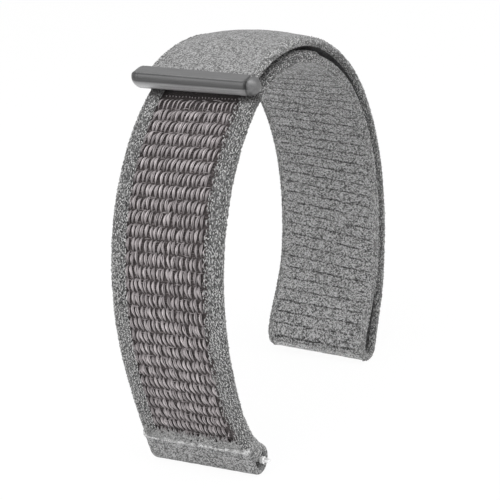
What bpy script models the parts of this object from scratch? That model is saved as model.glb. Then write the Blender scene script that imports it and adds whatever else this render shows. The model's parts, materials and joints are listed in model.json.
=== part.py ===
"""Woven nylon watch strap, closed as a loop the way it hangs when it is off the watch.

One band makes the whole strap. It starts in a sewn hem that holds a spring bar, runs up the
front leg with its loop pile outwards, over the crown and down the rear leg, turns round in an
open fold and comes back over the rear leg and the crown as a second layer. The tail of that
layer carries hooks and a metal end bar, and it lies on the pile at the top of the front leg.

Metres. X runs across the band, Y from the front leg to the rear leg, Z up. The origin is on
the surface that the hem and the fold stand on, below the middle of the loop.
"""

from functools import lru_cache
from math import cos, pi, radians, sin

import bmesh
import bpy
import numpy as np
from mathutils import Matrix, Vector

# Band
BAND_WIDTH = 0.0200
BAND_THICKNESS = 0.0019
GROUND_THICKNESS = 0.0010
LAYER_GAP = 0.00045
SEAT_GAP = 0.00030
FRONT_FLEX_GAP = 0.00070
REAR_FLEX_GAP = 0.00090
CROWN_DOME = 0.00120

# Loop that the band is bent to, measured on the middle of the inner layer
LOOP_DEPTH = 0.0618
LOOP_HEIGHT = 0.0652
LOOP_DEPTH_SHARES = (0.036, 0.003, 0.006, 0.055, 0.147, 0.277, 0.422)
LOOP_DEPTH_SHARES += (0.587, 0.746, 0.875, 0.961, 0.998, 0.990, 0.937)
LOOP_HEIGHT_SHARES = (0.207, 0.376, 0.544, 0.709, 0.844, 0.948, 0.998)
LOOP_HEIGHT_SHARES += (0.995, 0.936, 0.833, 0.687, 0.521, 0.368, 0.212)

# Hem that holds the spring bar at the foot of the front leg
HEM_THICKNESS = 0.0012
HEM_BORE_RADIUS = 0.00145
HEM_INSET = 0.0072
HEM_LEAN = radians(24)
HEM_RUN = 0.0036
HEM_FLAP = 0.0068
HEM_CLOSING_RUN = 0.0062

# Open fold at the foot of the rear leg
FOLD_RADIUS = 0.0023
FOLD_INSET = 0.0085
FOLD_LEAN = radians(26)
FOLD_CLOSING_RUN = 0.0198

# Loop pile and knitted edges on the front leg
EDGE_WIDTH = 0.0024
CHANNEL_WIDTH = 0.0011
ROW_PITCH = 0.00225
ROW_HEIGHT = 0.00038
ROW_PITCH_SHARES = (0.0, 0.22, 0.5, 0.8)
ROW_HEIGHT_SHARES = (0.0, 0.85, 1.0, 0.7)

# Places along the inner layer, from the top of the spring bar's hem upwards
END_BAR_RUN = 0.0671
FRONT_FLEX_BELOW_BAR = 0.0060
PEEL_ABOVE_BAR = 0.0140
REAR_FLEX_ABOVE_FOLD = 0.0450

# Tail, its hooks and its metal end bar
TAIL_THICKNESS = 0.0011
TAIL_RISE = 0.0005
HOOK_THICKNESS = 0.0005
HOOK_INSET = 0.0012
HOOK_START = 0.0026
HOOK_END_GAP = 0.0012
END_BAR_OVERHANG = 0.0021
END_BAR_LENGTH = BAND_WIDTH + 2 * END_BAR_OVERHANG
END_BAR_RADIUS = 0.00215
END_BAR_CAP_GAP = 0.00006
END_BAR_SLOT_DEPTH = 0.0023
END_BAR_FLAT_FROM = radians(78)
END_BAR_FLAT_TO = radians(149)
END_BAR_TAIL_OVERLAP = 0.0018

# Spring bar
BARREL_RADIUS = 0.00075
BARREL_BORE_RADIUS = 0.00052
BARREL_INSET = 0.0018
BARREL_LENGTH = BAND_WIDTH - 2 * BARREL_INSET
BARREL_LIP = 0.00050
LIP_BORE_RADIUS = 0.00045
PIN_CLEARANCE = 0.00005
TIP_RADIUS = 0.00040
TIP_LENGTH = 0.00115
COLLAR_RADIUS = 0.00065
COLLAR_LENGTH = 0.00060
PIN_TRAVEL = 0.00185
PIN_TAIL_LENGTH = 0.0024
SPRING_WALL = 0.00020
TIP_CHAMFER = 0.00015

# Steps that round and bent shapes are drawn with
TURNED_STEPS = 24
BAND_STEP = 0.0025
BAND_STEPS_ACROSS = 6
BEND_STEP = radians(12)
BEND_SAMPLES = 60
PATH_SAMPLES = 2000
GRID_SHARE = 0.5
WELD_DISTANCE = 0.000005
SHARP_ANGLE = radians(40)

# Surfaces: name, colour, roughness, metallic
COLLECTION_NAME = "Watch strap"
KNIT = "Grey knit"
PILE = "Loop pile"
HOOKS = "Hook tape"
METAL = "Blasted end bar"
STEEL = "Spring bar steel"
SURFACES = {
    KNIT: ((0.30, 0.30, 0.30), 0.95, 0.0),
    PILE: ((0.34, 0.31, 0.31), 0.90, 0.0),
    HOOKS: ((0.10, 0.10, 0.10), 0.60, 0.0),
    METAL: ((0.19, 0.19, 0.20), 0.35, 1.0),
    STEEL: ((0.62, 0.62, 0.62), 0.25, 1.0),
}


def clear_scene():
    for obj in list(bpy.data.objects):
        bpy.data.objects.remove(obj, do_unlink=True)


def add_surface(name, colour, roughness, metallic):
    mat = bpy.data.materials.new(name)
    mat.use_nodes = True
    shader = mat.node_tree.nodes["Principled BSDF"]
    shader.inputs["Base Color"].default_value = (*colour, 1.0)
    shader.inputs["Roughness"].default_value = roughness
    shader.inputs["Metallic"].default_value = metallic


def ease(share):
    """Goes from 0 to 1 with no corner at either end."""
    share = np.clip(share, 0.0, 1.0)
    return share * share * (3.0 - 2.0 * share)


def smooth_through(points, first_heading, last_heading):
    """A smooth curve through the points, clamped to a heading at each end, as dense samples."""
    points = np.array(points)
    gaps = np.linalg.norm(np.diff(points, axis=0), axis=1)
    count = len(points)
    system = np.zeros((count, count))
    known = np.zeros((count, 2))
    system[0, 0] = system[-1, -1] = 1.0
    known[0], known[-1] = first_heading, last_heading
    for i in range(1, count - 1):
        before, after = gaps[i - 1], gaps[i]
        system[i, i - 1], system[i, i], system[i, i + 1] = after, 2 * (before + after), before
        rise_before = (points[i] - points[i - 1]) / before
        rise_after = (points[i + 1] - points[i]) / after
        known[i] = 3 * (after * rise_before + before * rise_after)
    slopes = np.linalg.solve(system, known)
    stations = np.concatenate([[0.0], np.cumsum(gaps)])
    samples = []
    for where in np.linspace(0.0, stations[-1], PATH_SAMPLES):
        i = min(int(np.searchsorted(stations, where, side="right")) - 1, count - 2)
        u = (where - stations[i]) / gaps[i]
        start = (1 + 2 * u) * (1 - u) ** 2 * points[i] + u * (1 - u) ** 2 * gaps[i] * slopes[i]
        end = u * u * (3 - 2 * u) * points[i + 1] - u * u * (1 - u) * gaps[i] * slopes[i + 1]
        samples.append(start + end)
    return np.array(samples)


class Route:
    """A line in the plane of the loop (depth, height), read by the length run along it."""

    def __init__(self, samples):
        self.samples = np.array(samples)
        steps = np.linalg.norm(np.diff(self.samples, axis=0), axis=1)
        self.runs = np.concatenate([[0.0], np.cumsum(steps)])
        self.length = self.runs[-1]
        headings = np.gradient(self.samples, self.runs, axis=0)
        self.headings = headings / np.linalg.norm(headings, axis=1)[:, None]

    def _read(self, table, run):
        return np.array([np.interp(run, self.runs, table[:, axis]) for axis in (0, 1)])

    def heading(self, run):
        way = self._read(self.headings, run)
        return way / np.linalg.norm(way)

    def outward(self, run):
        """Square to the route, away from the wrist."""
        way = self.heading(run)
        return np.array([-way[1], way[0]])

    def at(self, run, lift=0.0):
        return self._read(self.samples, run) + lift * self.outward(run)

    def run_of(self, place):
        """How far along the route the nearest sample to a place is."""
        return self.runs[np.argmin(np.linalg.norm(self.samples - place, axis=1))]

    def divided(self, first, last):
        """Runs that divide the route from first to last, closer together where it bends."""
        runs = np.linspace(first, last, BEND_SAMPLES)
        ways = np.array([self.heading(run) for run in runs])
        turns = np.abs(ways[:-1, 0] * ways[1:, 1] - ways[:-1, 1] * ways[1:, 0])
        steps = np.cumsum(np.diff(runs) / BAND_STEP + turns / BEND_STEP)
        steps = np.concatenate([[0.0], steps])
        count = max(1, round(steps[-1]))
        return np.interp(np.linspace(0.0, steps[-1], count + 1), steps, runs)


def hem_radius():
    """Radius of the middle of the hem's cloth round the spring bar."""
    return HEM_BORE_RADIUS + HEM_THICKNESS / 2


def hem_centre():
    return np.array([HEM_INSET, hem_radius() + HEM_THICKNESS / 2])


def fold_centre():
    return np.array([LOOP_DEPTH - FOLD_INSET, FOLD_RADIUS + BAND_THICKNESS / 2])


def inner_route():
    """Middle of the inner layer, from the hem up the front leg and down to the fold."""
    start = hem_centre() + hem_radius() * np.array([-cos(HEM_LEAN), sin(HEM_LEAN)])
    end = fold_centre() + FOLD_RADIUS * np.array([-cos(FOLD_LEAN), sin(FOLD_LEAN)])
    shares = zip(LOOP_DEPTH_SHARES, LOOP_HEIGHT_SHARES)
    between = [(deep * LOOP_DEPTH, high * LOOP_HEIGHT) for deep, high in shares]
    first = np.array([-sin(HEM_LEAN), cos(HEM_LEAN)])
    last = np.array([-sin(FOLD_LEAN), -cos(FOLD_LEAN)])
    return Route(smooth_through([start, *between, end], first, last))


def outer_route(inner):
    """Middle of the outer layer, from the tail back over the crown and down to the fold."""
    close = BAND_THICKNESS + LAYER_GAP
    samples = []
    for run in np.linspace(END_BAR_RUN - END_BAR_RADIUS, inner.length, PATH_SAMPLES):
        opened = 1 - ease((inner.length - run) / FOLD_CLOSING_RUN)
        raised = ease((END_BAR_RUN + PEEL_ABOVE_BAR - run) / PEEL_ABOVE_BAR)
        lift = close + (2 * FOLD_RADIUS - close) * opened + TAIL_RISE * raised
        samples.append(inner.at(run, lift))
    return Route(samples)


def hem_route(inner):
    """Middle of the hem's cloth, down from the ridge, round the bar and up the inner side."""
    down = [inner.at(run) for run in np.linspace(HEM_RUN - SEAT_GAP, 0.0, BEND_SAMPLES)]
    round_bar = []
    for angle in np.linspace(0.0, pi, BEND_SAMPLES)[1:-1]:
        place = pi - HEM_LEAN + angle
        round_bar.append(hem_centre() + hem_radius() * np.array([cos(place), sin(place)]))
    up = []
    wide, narrow = 2 * hem_radius(), (BAND_THICKNESS + HEM_THICKNESS) / 2 + SEAT_GAP
    for run in np.linspace(0.0, HEM_FLAP, BEND_SAMPLES):
        lift = wide + (narrow - wide) * ease(run / HEM_CLOSING_RUN)
        up.append(inner.at(run, -lift))
    return Route(down + round_bar + up)


def fold_route(inner):
    """Middle of the band where it turns round at the foot of the rear leg."""
    samples = []
    for angle in np.linspace(0.0, pi, BEND_SAMPLES):
        place = pi - FOLD_LEAN + angle
        samples.append(fold_centre() + FOLD_RADIUS * np.array([cos(place), sin(place)]))
    return Route(samples)


@lru_cache
def middle_depth():
    """Depth of the middle of the whole loop, where the part has its origin."""
    inner = inner_route()
    front = inner.samples[:, 0].min() - BAND_THICKNESS / 2
    rear = outer_route(inner).samples[:, 0].max() + BAND_THICKNESS / 2
    return (front + rear) / 2


def in_frame(place, across=0.0):
    return Vector((across, place[0] - middle_depth(), place[1]))


def add_object(name, mesh, surface, joint=None):
    obj = bpy.data.objects.new(name, mesh)
    bpy.data.collections[COLLECTION_NAME].objects.link(obj)
    mesh.materials.clear()
    mesh.materials.append(bpy.data.materials[surface])
    if joint is not None:
        obj.parent = joint
        obj.matrix_parent_inverse = joint.matrix_world.inverted()
    return obj


def shade_round(obj):
    obj.data.shade_smooth()
    obj.data.set_sharp_from_angle(angle=SHARP_ANGLE)


def strip(name, route, runs, lift, thickness, sides, joint, surface=KNIT, dome=None, steps_across=1):
    """A band of cloth along a route: a bent sheet, thickened evenly to both sides."""
    runs = route.divided(*runs)
    left, right = sides
    last_step = len(runs) - 1
    sheet = bmesh.new()
    bmesh.ops.create_grid(sheet, x_segments=steps_across, y_segments=last_step, size=GRID_SHARE)
    for vert in sheet.verts:
        run = runs[round((vert.co.y + GRID_SHARE) * last_step)]
        side = left + (right - left) * (vert.co.x + GRID_SHARE)
        bulge = dome(run) * (1 - (2 * side / BAND_WIDTH) ** 2) if dome else 0.0
        vert.co = in_frame(route.at(run, lift + bulge), side)
    bmesh.ops.recalc_face_normals(sheet, faces=sheet.faces)
    mesh = bpy.data.meshes.new(name)
    sheet.to_mesh(mesh)
    sheet.free()
    obj = add_object(name, mesh, surface, joint)
    body = obj.modifiers.new("Cloth thickness", "SOLIDIFY")
    body.thickness = thickness
    body.offset = 0.0
    shade_round(obj)


def outline_prism(name, outline, half_length, place, surface, joint):
    """A flat outline, filled and extruded to both sides, set in place by a matrix."""
    curve = bpy.data.curves.new(name, "CURVE")
    curve.dimensions = "2D"
    curve.fill_mode = "BOTH"
    curve.extrude = half_length
    spline = curve.splines.new("POLY")
    spline.points.add(len(outline) - 1)
    for point, (along, up) in zip(spline.points, outline):
        point.co = (along, up, 0.0, 1.0)
    spline.use_cyclic_u = True
    drawn = bpy.data.objects.new(name + "_outline", curve)
    bpy.data.collections[COLLECTION_NAME].objects.link(drawn)
    bpy.context.view_layer.update()
    evaluated = drawn.evaluated_get(bpy.context.evaluated_depsgraph_get())
    mesh = bpy.data.meshes.new_from_object(evaluated)
    bpy.data.objects.remove(drawn, do_unlink=True)
    welded = bmesh.new()
    welded.from_mesh(mesh)
    bmesh.ops.remove_doubles(welded, verts=welded.verts, dist=WELD_DISTANCE)
    bmesh.ops.recalc_face_normals(welded, faces=welded.faces)
    welded.transform(place)
    welded.to_mesh(mesh)
    welded.free()
    mesh.name = name
    shade_round(add_object(name, mesh, surface, joint))


def turned(name, profile, place, joint, closed=False):
    """A profile of (radius, length) turned about its own axis, which place points along the joint."""
    mesh = bpy.data.meshes.new(name)
    points = [(radius, 0.0, along) for radius, along in profile]
    edges = [(i, i + 1) for i in range(len(points) - 1)]
    if closed:
        edges.append((len(points) - 1, 0))
    mesh.from_pydata(points, edges, [])
    obj = add_object(name, mesh, STEEL)
    obj.parent = joint
    obj.matrix_basis = place
    screw = obj.modifiers.new("Turned", "SCREW")
    screw.steps = TURNED_STEPS
    screw.render_steps = TURNED_STEPS
    screw.use_merge_vertices = True
    screw.merge_threshold = WELD_DISTANCE
    screw.use_smooth_shade = True


def joint_empty(name, place):
    empty = bpy.data.objects.new(name, None)
    empty.empty_display_size = BAND_THICKNESS
    empty.location = place
    bpy.data.collections[COLLECTION_NAME].objects.link(empty)
    bpy.context.view_layer.update()
    return empty


def across_band(centre, toward_tip, outward):
    """Places a drawing with its first axis to the tip, its second outwards and its third across."""
    third = toward_tip.cross(outward)
    place = Matrix((toward_tip, outward, third)).transposed().to_4x4()
    place.translation = centre
    return place


def build_crown(inner, outer, stations):
    """The top of the loop: the inner layer, and the outer layer from the rear to the tail."""
    sides = (-BAND_WIDTH / 2, BAND_WIDTH / 2)
    first = stations["front_flex"] + FRONT_FLEX_GAP / 2
    last = stations["rear_flex"] - REAR_FLEX_GAP / 2
    strip("crown_inner", inner, (first, last), 0.0, BAND_THICKNESS, sides, None)
    runs = stations["peel_outer"] + SEAT_GAP / 2, stations["rear_flex_outer"] - REAR_FLEX_GAP / 2

    def dome(run):
        return CROWN_DOME * ease((runs[1] - run) / (runs[1] - runs[0]))

    strip("crown_outer", outer, runs, 0.0, BAND_THICKNESS, sides, None, KNIT, dome, BAND_STEPS_ACROSS)


def pile_outline(inner, runs, floor, top):
    """Side view of the loop pile: a thin ground with one rounded ridge for each row of loops."""
    first, last = runs
    rows = int((last - first) / ROW_PITCH)
    pitch = (last - first) / rows
    outline = []
    for row in range(rows):
        for along, high in zip(ROW_PITCH_SHARES, ROW_HEIGHT_SHARES):
            lift = top - ROW_HEIGHT * (1 - high)
            outline.append(inner.at(first + (row + along) * pitch, lift))
    outline.append(inner.at(last, top - ROW_HEIGHT))
    for run in np.linspace(last, first, rows + 1):
        outline.append(inner.at(run, floor))
    return outline


def build_front_leg(inner, stations, joint):
    """The front leg: woven ground, loop pile, two knitted edges and the hem round the spring bar."""
    half = BAND_WIDTH / 2
    sides = (-half, half)
    runs = HEM_RUN, stations["front_flex"] - FRONT_FLEX_GAP / 2
    ground_lift = (GROUND_THICKNESS - BAND_THICKNESS) / 2
    strip("front_ground", inner, runs, ground_lift, GROUND_THICKNESS, sides, joint)
    floor = ground_lift + GROUND_THICKNESS / 2 + SEAT_GAP
    top = BAND_THICKNESS / 2
    edge_sides = (half - EDGE_WIDTH, half)
    strip("edge_right", inner, runs, (floor + top) / 2, top - floor, edge_sides, joint)
    edge_sides = (-half, EDGE_WIDTH - half)
    strip("edge_left", inner, runs, (floor + top) / 2, top - floor, edge_sides, joint)
    outline = [in_frame(point) for point in pile_outline(inner, runs, floor, top)]
    drawn = [(point.y, point.z) for point in outline]
    place = Matrix(((0, 0, 1), (1, 0, 0), (0, 1, 0))).to_4x4()
    outline_prism("loop_pile", drawn, half - EDGE_WIDTH - CHANNEL_WIDTH, place, PILE, joint)
    hem = hem_route(inner)
    strip("hem_sleeve", hem, (0.0, hem.length), 0.0, HEM_THICKNESS, sides, joint)


def build_rear_leg(inner, outer, stations, joint):
    """The rear leg: its inner layer, the open fold at its foot and its outer layer."""
    sides = (-BAND_WIDTH / 2, BAND_WIDTH / 2)
    runs = stations["rear_flex"] + REAR_FLEX_GAP / 2, inner.length - SEAT_GAP / 2
    strip("rear_inner", inner, runs, 0.0, BAND_THICKNESS, sides, joint)
    fold = fold_route(inner)
    runs = SEAT_GAP / 2, fold.length - SEAT_GAP / 2
    strip("rear_fold", fold, runs, 0.0, BAND_THICKNESS, sides, joint)
    runs = stations["rear_flex_outer"] + REAR_FLEX_GAP / 2, outer.length - SEAT_GAP / 2
    strip("rear_outer", outer, runs, 0.0, BAND_THICKNESS, sides, joint)


def end_bar_outline(tail_low, tail_high):
    """Section of the metal end bar: a round rod with a flat on top and a slot that grips the tail."""
    tail_low -= SEAT_GAP
    tail_high += SEAT_GAP
    slot_end = END_BAR_SLOT_DEPTH - END_BAR_RADIUS
    radius = END_BAR_RADIUS
    outline = []
    for angle in np.arange(END_BAR_FLAT_FROM, -END_BAR_FLAT_TO, -BEND_STEP):
        outline.append((radius * cos(angle), radius * sin(angle)))
    low_back = -((radius**2 - tail_low**2) ** 0.5)
    high_back = radius * cos(END_BAR_FLAT_TO)
    outline += [(low_back, tail_low), (slot_end, tail_low), (slot_end, tail_high), (high_back, tail_high)]
    outline.append((high_back, radius * sin(END_BAR_FLAT_TO)))
    return outline


def end_cap(name, side, place, joint):
    """Domed end of the end bar: half a ball whose top is cut to the bar's own flat."""
    steps = TURNED_STEPS
    ball = bmesh.new()
    bmesh.ops.create_uvsphere(ball, u_segments=steps, v_segments=steps // 2, radius=END_BAR_RADIUS)
    far = Vector((0.0, 0.0, side))
    middle = (END_BAR_FLAT_FROM + END_BAR_FLAT_TO) / 2
    top = Vector((cos(middle), sin(middle), 0.0))
    flat = END_BAR_RADIUS * cos((END_BAR_FLAT_TO - END_BAR_FLAT_FROM) / 2)
    for point, away in ((Vector(), -far), (top * flat, top)):
        parts = ball.verts[:] + ball.edges[:] + ball.faces[:]
        cut = bmesh.ops.bisect_plane(ball, geom=parts, plane_co=point, plane_no=away, clear_outer=True)
        rim = [item for item in cut["geom_cut"] if isinstance(item, bmesh.types.BMEdge)]
        bmesh.ops.edgeloop_fill(ball, edges=rim)
    bmesh.ops.recalc_face_normals(ball, faces=ball.faces)
    ball.transform(place @ Matrix.Translation(far * (END_BAR_LENGTH / 2 - END_BAR_RADIUS)))
    mesh = bpy.data.meshes.new(name)
    ball.to_mesh(mesh)
    ball.free()
    shade_round(add_object(name, mesh, METAL, joint))


def build_tail(inner, outer, stations, joint):
    """The tail: its cloth, the hooks under it and the metal end bar with its two domed ends."""
    half = BAND_WIDTH / 2
    centre = inner.at(END_BAR_RUN, BAND_THICKNESS / 2 + SEAT_GAP + END_BAR_RADIUS)
    at_bar = outer.run_of(centre)
    lift = (BAND_THICKNESS - TAIL_THICKNESS) / 2
    first = at_bar + END_BAR_RADIUS - END_BAR_TAIL_OVERLAP
    last = stations["peel_outer"] - SEAT_GAP / 2
    flat_until = at_bar + HOOK_START

    def dome(run):
        return CROWN_DOME * ease((run - flat_until) / (last - flat_until))

    sides = (SEAT_GAP - half, half - SEAT_GAP)
    across = BAND_STEPS_ACROSS
    strip("tail_band", outer, (first, last), lift, TAIL_THICKNESS, sides, joint, KNIT, dome, across)
    runs = flat_until, stations["peel_outer"] - HOOK_END_GAP
    hook_lift = lift - (TAIL_THICKNESS + HOOK_THICKNESS) / 2 - SEAT_GAP
    sides = (HOOK_INSET - half, half - HOOK_INSET)
    strip("hook_pad", outer, runs, hook_lift, HOOK_THICKNESS, sides, joint, HOOKS)
    way, up = inner.heading(END_BAR_RUN), inner.outward(END_BAR_RUN)
    toward_tip, outward = Vector((0.0, -way[0], -way[1])), Vector((0.0, up[0], up[1]))
    place = across_band(in_frame(centre), toward_tip, outward)
    middle = np.dot(outer.at(first, lift) - centre, up)
    outline = end_bar_outline(middle - TAIL_THICKNESS / 2, middle + TAIL_THICKNESS / 2)
    half_length = END_BAR_LENGTH / 2 - END_BAR_RADIUS - END_BAR_CAP_GAP
    outline_prism("end_bar", outline, half_length, place, METAL, joint)
    right = 1 if place.col[2].x > 0 else -1
    end_cap("end_bar_cap_right", right, place, joint)
    end_cap("end_bar_cap_left", -right, place, joint)


def build_spring_bar(joints):
    """The spring bar in the hem: a barrel, a spring and a stepped pin at each end."""
    along = Matrix.Rotation(pi / 2, 4, "Y")
    half = BARREL_LENGTH / 2
    lip = half - BARREL_LIP
    barrel = [(BARREL_RADIUS, half), (BARREL_RADIUS, -half)]
    barrel += [(LIP_BORE_RADIUS, -half), (LIP_BORE_RADIUS, -lip)]
    barrel += [(BARREL_BORE_RADIUS, -lip), (BARREL_BORE_RADIUS, lip)]
    barrel += [(LIP_BORE_RADIUS, lip), (LIP_BORE_RADIUS, half)]
    turned("bar_barrel", barrel, along, joints["bar"], closed=True)
    neck = LIP_BORE_RADIUS - PIN_CLEARANCE
    head = BARREL_BORE_RADIUS - PIN_CLEARANCE
    collar_low = PIN_TRAVEL + PIN_CLEARANCE
    collar_top = collar_low + COLLAR_LENGTH
    tip_top = collar_top + TIP_LENGTH
    head_top = -BARREL_LIP - PIN_CLEARANCE
    head_low = head_top - PIN_TAIL_LENGTH
    pin = [(0.0, tip_top), (TIP_RADIUS - TIP_CHAMFER, tip_top), (TIP_RADIUS, tip_top - TIP_CHAMFER)]
    pin += [(TIP_RADIUS, collar_top), (COLLAR_RADIUS, collar_top), (COLLAR_RADIUS, collar_low)]
    pin += [(neck, collar_low), (neck, head_top), (head, head_top), (head, head_low), (0.0, head_low)]
    turned("bar_pin_right", pin, along, joints["bar_pin_right"])
    opposite = along @ Matrix.Rotation(pi, 4, "X")
    turned("bar_pin_left", pin, opposite, joints["bar_pin_left"])
    spring_half = half + head_low - PIN_TRAVEL - PIN_CLEARANCE
    bore = head - SPRING_WALL
    spring = [(head, spring_half), (head, -spring_half), (bore, -spring_half), (bore, spring_half)]
    turned("bar_spring", spring, along, joints["bar"], closed=True)


def build():
    clear_scene()
    collection = bpy.data.collections.new(COLLECTION_NAME)
    bpy.context.scene.collection.children.link(collection)
    for name, (colour, roughness, metallic) in SURFACES.items():
        add_surface(name, colour, roughness, metallic)
    inner = inner_route()
    outer = outer_route(inner)
    close = BAND_THICKNESS + LAYER_GAP
    peel = END_BAR_RUN + PEEL_ABOVE_BAR
    stations = {
        "front_flex": END_BAR_RUN - FRONT_FLEX_BELOW_BAR,
        "peel_outer": outer.run_of(inner.at(peel, close)),
        "rear_flex": inner.length - REAR_FLEX_ABOVE_FOLD,
    }
    stations["rear_flex_outer"] = outer.run_of(inner.at(stations["rear_flex"], close))
    front_axis = inner.at(stations["front_flex"])
    rear_axis = inner.at(stations["rear_flex"], close / 2)
    peel_axis = inner.at(peel, close + BAND_THICKNESS / 2 + CROWN_DOME)
    joints = {
        "front": joint_empty("front_flex", in_frame(front_axis)),
        "rear": joint_empty("rear_flex", in_frame(rear_axis)),
        "tail": joint_empty("tail_peel", in_frame(peel_axis)),
        "bar": joint_empty("bar_turn", in_frame(hem_centre())),
    }
    for name, side in (("bar_pin_left", -1), ("bar_pin_right", 1)):
        end = in_frame(hem_centre(), side * BARREL_LENGTH / 2)
        joints[name] = joint_empty(name + "_slide", end)
    build_crown(inner, outer, stations)
    build_front_leg(inner, stations, joints["front"])
    build_rear_leg(inner, outer, stations, joints["rear"])
    build_tail(inner, outer, stations, joints["tail"])
    build_spring_bar(joints)


build()
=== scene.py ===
import json
from math import cos, pi, radians, sin

import bpy
import numpy as np
from mathutils import Matrix, Vector


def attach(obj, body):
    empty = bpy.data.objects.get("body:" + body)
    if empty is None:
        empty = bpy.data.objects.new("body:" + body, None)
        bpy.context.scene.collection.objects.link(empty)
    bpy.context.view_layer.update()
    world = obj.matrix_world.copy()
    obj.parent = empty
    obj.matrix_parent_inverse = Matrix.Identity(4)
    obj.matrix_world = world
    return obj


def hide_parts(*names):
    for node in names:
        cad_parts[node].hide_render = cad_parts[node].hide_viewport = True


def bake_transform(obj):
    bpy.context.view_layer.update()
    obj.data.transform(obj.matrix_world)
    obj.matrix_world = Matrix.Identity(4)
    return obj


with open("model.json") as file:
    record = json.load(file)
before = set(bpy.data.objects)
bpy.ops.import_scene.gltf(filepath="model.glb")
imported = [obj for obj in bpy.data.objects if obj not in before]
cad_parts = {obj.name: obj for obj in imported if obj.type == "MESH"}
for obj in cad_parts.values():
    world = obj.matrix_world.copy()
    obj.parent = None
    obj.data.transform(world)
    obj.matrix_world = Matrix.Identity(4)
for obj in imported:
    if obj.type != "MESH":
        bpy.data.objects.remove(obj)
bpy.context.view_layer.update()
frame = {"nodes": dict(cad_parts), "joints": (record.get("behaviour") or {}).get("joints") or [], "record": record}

# The band and its loop, sized as the solids are. Lengths are metres, and a run is a length along the band.
BAND_WIDTH = 0.0200
BAND_THICKNESS = 0.0019
LAYER_GAP = 0.00045
SEAT_GAP = 0.00030
CROWN_DOME = 0.00120
LOOP_DEPTH = 0.0618
LOOP_HEIGHT = 0.0652
# Points up the front leg, over the crown and down the rear leg, as shares of the loop's depth and height
LOOP_DEPTH_SHARES = (
    0.036, 0.003, 0.006, 0.055, 0.147, 0.277, 0.422,
    0.587, 0.746, 0.875, 0.961, 0.998, 0.990, 0.937,
)
LOOP_HEIGHT_SHARES = (
    0.207, 0.376, 0.544, 0.709, 0.844, 0.948, 0.998,
    0.995, 0.936, 0.833, 0.687, 0.521, 0.368, 0.212,
)
CROWN_PAST_BAR = 0.0230
DOME_ENDS_BEFORE_BAR = 0.0026
REAR_FLEX_ABOVE_FOLD = 0.0450
BEND_REACH = 0.0040

# The sewn hem round the sprung bar
HEM_THICKNESS = 0.0012
HEM_BORE_RADIUS = 0.00145
HEM_RADIUS = HEM_BORE_RADIUS + HEM_THICKNESS / 2
HEM_INSET = 0.0072
HEM_CENTRE = np.array([HEM_INSET, HEM_RADIUS + HEM_THICKNESS / 2])
HEM_LEAN = radians(24)
HEM_RUN = 0.0036
HEM_MEETS_TUBE = radians(200)
HEM_LEAVES_TUBE = radians(402)
HEM_FLAP_DEPTHS = (0.00742, 0.00644, 0.00552, 0.00468, 0.00402, 0.00345, 0.00293)
HEM_FLAP_HEIGHTS = (0.00523, 0.00642, 0.00754, 0.00880, 0.01003, 0.01126, 0.01250)
HEM_WIDER_AT_LEFT = 0.0004
RIDGE_RUN = 0.0006
RIDGE_REACH = 0.0008
RIDGE_RISE = 0.00030
RIDGE_FIBRES = 620
RIDGE_FIBRE = 0.000055

# The open fold at the foot of the rear leg
FOLD_RADIUS = 0.0023
FOLD_INSET = 0.0085
FOLD_CENTRE = np.array([LOOP_DEPTH - FOLD_INSET, FOLD_RADIUS + BAND_THICKNESS / 2])
FOLD_LEAN = radians(26)
FOLD_CLOSING_RUN = 0.0198

# The end bar. The solid has END_BAR_RADIUS. The real bar is slimmer than that, tapered and a little askew.
END_BAR_RUN = 0.0671
END_BAR_RADIUS = 0.00215
END_BAR_SLIM_RADIUS = 0.00193
END_BAR_LENGTH = 0.0243
END_BAR_LEFT_SHIFT = 0.00080
END_BAR_DROP = 0.00017
END_BAR_SKEW = 0.040
END_BAR_TAPER = 0.055
END_BAR_FLAT_FROM = radians(65.5)
END_BAR_FLAT_TO = radians(149)
CREASE_DEPTH = 0.00009
CREASE_PAST_FLAT = 0.10
CREASE_SPREAD = 0.045
GROOVE_REACH = 0.0004
RIGHT_GROOVE_DEPTH = 0.00020
RIGHT_GROOVE_WIDTH = 0.00016
LEFT_GROOVE_DEPTH = 0.00003
LEFT_GROOVE_WIDTH = 0.00014
BALL_START = 0.0001
BALL_BLEND = 0.0006
CRESCENT_WIDTH = 0.00038

# The tail and the hooks under it
PEEL_ABOVE_BAR = 0.0140
TAIL_CLOTH_BEFORE_PEEL = 0.0090
TAIL_RISE = 0.0005
TAIL_THICKNESS = 0.0011
HOOK_INSET = 0.0012
HOOK_START = 0.0026
HOOK_END_GAP = 0.0012
HOOK_FACE = 0.00095
HOOK_ROOT = 0.00005
HOOK_PITCH = 0.0011
HOOK_TALL = 0.00042
HOOK_RADIUS = 0.00007
HOOK_CURL = 0.78

# The loop pile on the front leg
EDGE_WIDTH = 0.0024
CHANNEL_WIDTH = 0.0011
ROW_PITCH = 0.00222
FIRST_ROW = -0.00053
ROWS_END_BEFORE_CROWN = 0.0035
LOOPS_ACROSS = 17
LOOPS_FROM, LOOPS_TO = -0.00715, 0.00640
LOOP_STRAND = 0.000074
LOOP_TALL = 0.00084
LOOP_WIDTH = 0.00050
LOW_LOOPS_TO, HIGH_LOOPS_AFTER = 0.010, 0.035
LOOPS_UPRIGHT_AT, SKEW_GROWS_OVER = 0.0330, 0.0200
LOOP_SKEW = 0.00030
LOOP_LEAN = 0.00009
STRAND_STRAY = 0.00004
STRAND_DROP = 0.00014
FIELD_DEPTH = 0.00070
SLIVER_LONG = 0.0012
SLIVER_TALL = 0.0007
THREADS_IN_GAP = 7
THREAD_LONG = 0.0011
THREAD_RADIUS = 0.00004

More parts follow.
